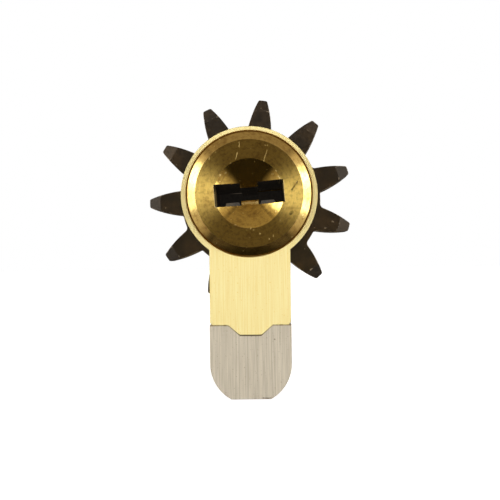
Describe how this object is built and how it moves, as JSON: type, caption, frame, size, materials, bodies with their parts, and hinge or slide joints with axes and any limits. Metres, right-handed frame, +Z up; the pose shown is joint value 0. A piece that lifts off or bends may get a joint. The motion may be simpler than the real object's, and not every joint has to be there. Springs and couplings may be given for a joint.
{
  "type": "lock cylinder with gear cam",
  "caption": "Double-entry lock cylinder: brass body halves on a steel bar, two keyed plugs and a dark toothed gear cam between them.",
  "frame": {"origin": "on the plug axis, in the middle of the gear cam", "axes": "+Y along the plug axis from the front end to the rear end, +X to the right seen from the front, +Z up from the web to the barrel"},
  "size_m": [0.028, 0.0724, 0.0396],
  "materials": {
    "body_brass": "satin, fine vertical grain on the end face",
    "cap_brass": "turned",
    "plug_brass": "turned and polished",
    "bar_steel": "warm grey satin with fine vertical grain",
    "gear_steel": "dark oiled phosphate, bright where worn",
    "screw_steel": "black oxide",
    "clip_steel": "ground",
    "guard_steel": "hardened, ground",
    "pin_steel": "ground",
    "spring_steel": "bright wire"
  },
  "bodies": {
    "housing": {"front_body": "body_brass", "rear_body": "body_brass", "base_bar": "bar_steel", "base_screws": "screw_steel", "front_body_guard_pins": "guard_steel", "rear_body_guard_pins": "guard_steel", "front_chamber_caps": "cap_brass", "rear_chamber_caps": "cap_brass", "front_springs_1": "spring_steel", "front_springs_2": "spring_steel", "front_springs_3": "spring_steel", "front_springs_4": "spring_steel", "front_springs_5": "spring_steel", "rear_springs_1": "spring_steel", "rear_springs_2": "spring_steel", "rear_springs_3": "spring_steel", "rear_springs_4": "spring_steel", "rear_springs_5": "spring_steel"},
    "front_plug": {"front_plug": "plug_brass", "front_clip": "clip_steel", "front_plug_guard_pins": "guard_steel"},
    "rear_plug": {"rear_plug": "plug_brass", "rear_clip": "clip_steel", "rear_plug_guard_pins": "guard_steel"},
    "gear_cam": {"gear_cam": "gear_steel"},
    "front_coupler": {"front_coupler": "clip_steel", "coupler_spring": "spring_steel"},
    "rear_coupler": {"rear_coupler": "clip_steel"},
    "front_key_pins_1": {"front_key_pins_1": "pin_steel"},
    "front_driver_pins_1": {"front_driver_pins_1": "pin_steel"},
    "front_key_pins_2": {"front_key_pins_2": "pin_steel"},
    "front_driver_pins_2": {"front_driver_pins_2": "pin_steel"},
    "front_key_pins_3": {"front_key_pins_3": "pin_steel"},
    "front_driver_pins_3": {"front_driver_pins_3": "pin_steel"},
    "front_key_pins_4": {"front_key_pins_4": "pin_steel"},
    "front_driver_pins_4": {"front_driver_pins_4": "pin_steel"},
    "front_key_pins_5": {"front_key_pins_5": "pin_steel"},
    "front_driver_pins_5": {"front_driver_pins_5": "pin_steel"},
    "rear_key_pins_1": {"rear_key_pins_1": "pin_steel"},
    "rear_driver_pins_1": {"rear_driver_pins_1": "pin_steel"},
    "rear_key_pins_2": {"rear_key_pins_2": "pin_steel"},
    "rear_driver_pins_2": {"rear_driver_pins_2": "pin_steel"},
    "rear_key_pins_3": {"rear_key_pins_3": "pin_steel"},
    "rear_driver_pins_3": {"rear_driver_pins_3": "pin_steel"},
    "rear_key_pins_4": {"rear_key_pins_4": "pin_steel"},
    "rear_driver_pins_4": {"rear_driver_pins_4": "pin_steel"},
    "rear_key_pins_5": {"rear_key_pins_5": "pin_steel"},
    "rear_driver_pins_5": {"rear_driver_pins_5": "pin_steel"}
  },
  "joints": [
    {"name": "front_plug_turn", "type": "hinge", "parent": "housing", "child": "front_plug", "pos_m": [0, 0, 0], "axis": [0, -1, 0], "continuous": true},
    {"name": "rear_plug_turn", "type": "hinge", "parent": "housing", "child": "rear_plug", "pos_m": [0, 0, 0], "axis": [0, -1, 0], "continuous": true},
    {"name": "gear_cam_turn", "type": "hinge", "parent": "housing", "child": "gear_cam", "pos_m": [0, 0, 0], "axis": [0, -1, 0], "continuous": true},
    {"name": "front_coupler_slide", "type": "slide", "parent": "front_plug", "child": "front_coupler", "axis": [0, 1, 0], "range_m": [-0.0006, 0]},
    {"name": "rear_coupler_slide", "type": "slide", "parent": "rear_plug", "child": "rear_coupler", "axis": [0, 1, 0], "range_m": [-0.0006, 0]},
    {"name": "front_key_pins_1_slide", "type": "slide", "parent": "front_plug", "child": "front_key_pins_1", "axis": [-0.0732, 0, 0.9973], "range_m": [-0.0008, 0]},
    {"name": "front_driver_pins_1_slide", "type": "slide", "parent": "housing", "child": "front_driver_pins_1", "axis": [0, 0, 1], "range_m": [-0.001, 0], "deforming": ["front_springs_1"]},
    {"name": "front_key_pins_2_slide", "type": "slide", "parent": "front_plug", "child": "front_key_pins_2", "axis": [-0.0732, 0, 0.9973], "range_m": [-0.0004, 0]},
    {"name": "front_driver_pins_2_slide", "type": "slide", "parent": "housing", "child": "front_driver_pins_2", "axis": [0, 0, 1], "range_m": [-0.001, 0], "deforming": ["front_springs_2"]},
    {"name": "front_key_pins_3_slide", "type": "slide", "parent": "front_plug", "child": "front_key_pins_3", "axis": [-0.0732, 0, 0.9973], "range_m": [-0.0006, 0]},
    {"name": "front_driver_pins_3_slide", "type": "slide", "parent": "housing", "child": "front_driver_pins_3", "axis": [0, 0, 1], "range_m": [-0.001, 0], "deforming": ["front_springs_3"]},
    {"name": "front_key_pins_4_slide", "type": "slide", "parent": "front_plug", "child": "front_key_pins_4", "axis": [-0.0732, 0, 0.9973], "range_m": [-0.0003, 0]},
    {"name": "front_driver_pins_4_slide", "type": "slide", "parent": "housing", "child": "front_driver_pins_4", "axis": [0, 0, 1], "range_m": [-0.001, 0], "deforming": ["front_springs_4"]},
    {"name": "front_key_pins_5_slide", "type": "slide", "parent": "front_plug", "child": "front_key_pins_5", "axis": [-0.0732, 0, 0.9973], "range_m": [-0.0007, 0]},
    {"name": "front_driver_pins_5_slide", "type": "slide", "parent": "housing", "child": "front_driver_pins_5", "axis": [0, 0, 1], "range_m": [-0.001, 0], "deforming": ["front_springs_5"]},
    {"name": "rear_key_pins_1_slide", "type": "slide", "parent": "rear_plug", "child": "rear_key_pins_1", "axis": [0, 0, 1], "range_m": [-0.0005, 0]},
    {"name": "rear_driver_pins_1_slide", "type": "slide", "parent": "housing", "child": "rear_driver_pins_1", "axis": [0, 0, 1], "range_m": [-0.001, 0], "deforming": ["rear_springs_1"]},
    {"name": "rear_key_pins_2_slide", "type": "slide", "parent": "rear_plug", "child": "rear_key_pins_2", "axis": [0, 0, 1], "range_m": [-0.0007, 0]},
    {"name": "rear_driver_pins_2_slide", "type": "slide", "parent": "housing", "child": "rear_driver_pins_2", "axis": [0, 0, 1], "range_m": [-0.001, 0], "deforming": ["rear_springs_2"]},
    {"name": "rear_key_pins_3_slide", "type": "slide", "parent": "rear_plug", "child": "rear_key_pins_3", "axis": [0, 0, 1], "range_m": [-0.0003, 0]},
    {"name": "rear_driver_pins_3_slide", "type": "slide", "parent": "housing", "child": "rear_driver_pins_3", "axis": [0, 0, 1], "range_m": [-0.001, 0], "deforming": ["rear_springs_3"]},
    {"name": "rear_key_pins_4_slide", "type": "slide", "parent": "rear_plug", "child": "rear_key_pins_4", "axis": [0, 0, 1], "range_m": [-0.0008, 0]},
    {"name": "rear_driver_pins_4_slide", "type": "slide", "parent": "housing", "child": "rear_driver_pins_4", "axis": [0, 0, 1], "range_m": [-0.001, 0], "deforming": ["rear_springs_4"]},
    {"name": "rear_key_pins_5_slide", "type": "slide", "parent": "rear_plug", "child": "rear_key_pins_5", "axis": [0, 0, 1], "range_m": [-0.0004, 0]},
    {"name": "rear_driver_pins_5_slide", "type": "slide", "parent": "housing", "child": "rear_driver_pins_5", "axis": [0, 0, 1], "range_m": [-0.001, 0], "deforming": ["rear_springs_5"]}
  ],
  "couplings": [
    {"joint": "front_plug_turn", "follows": "gear_cam_turn", "ratio": 1},
    {"joint": "rear_coupler_slide", "follows": "front_coupler_slide", "ratio": 1}
  ]
}
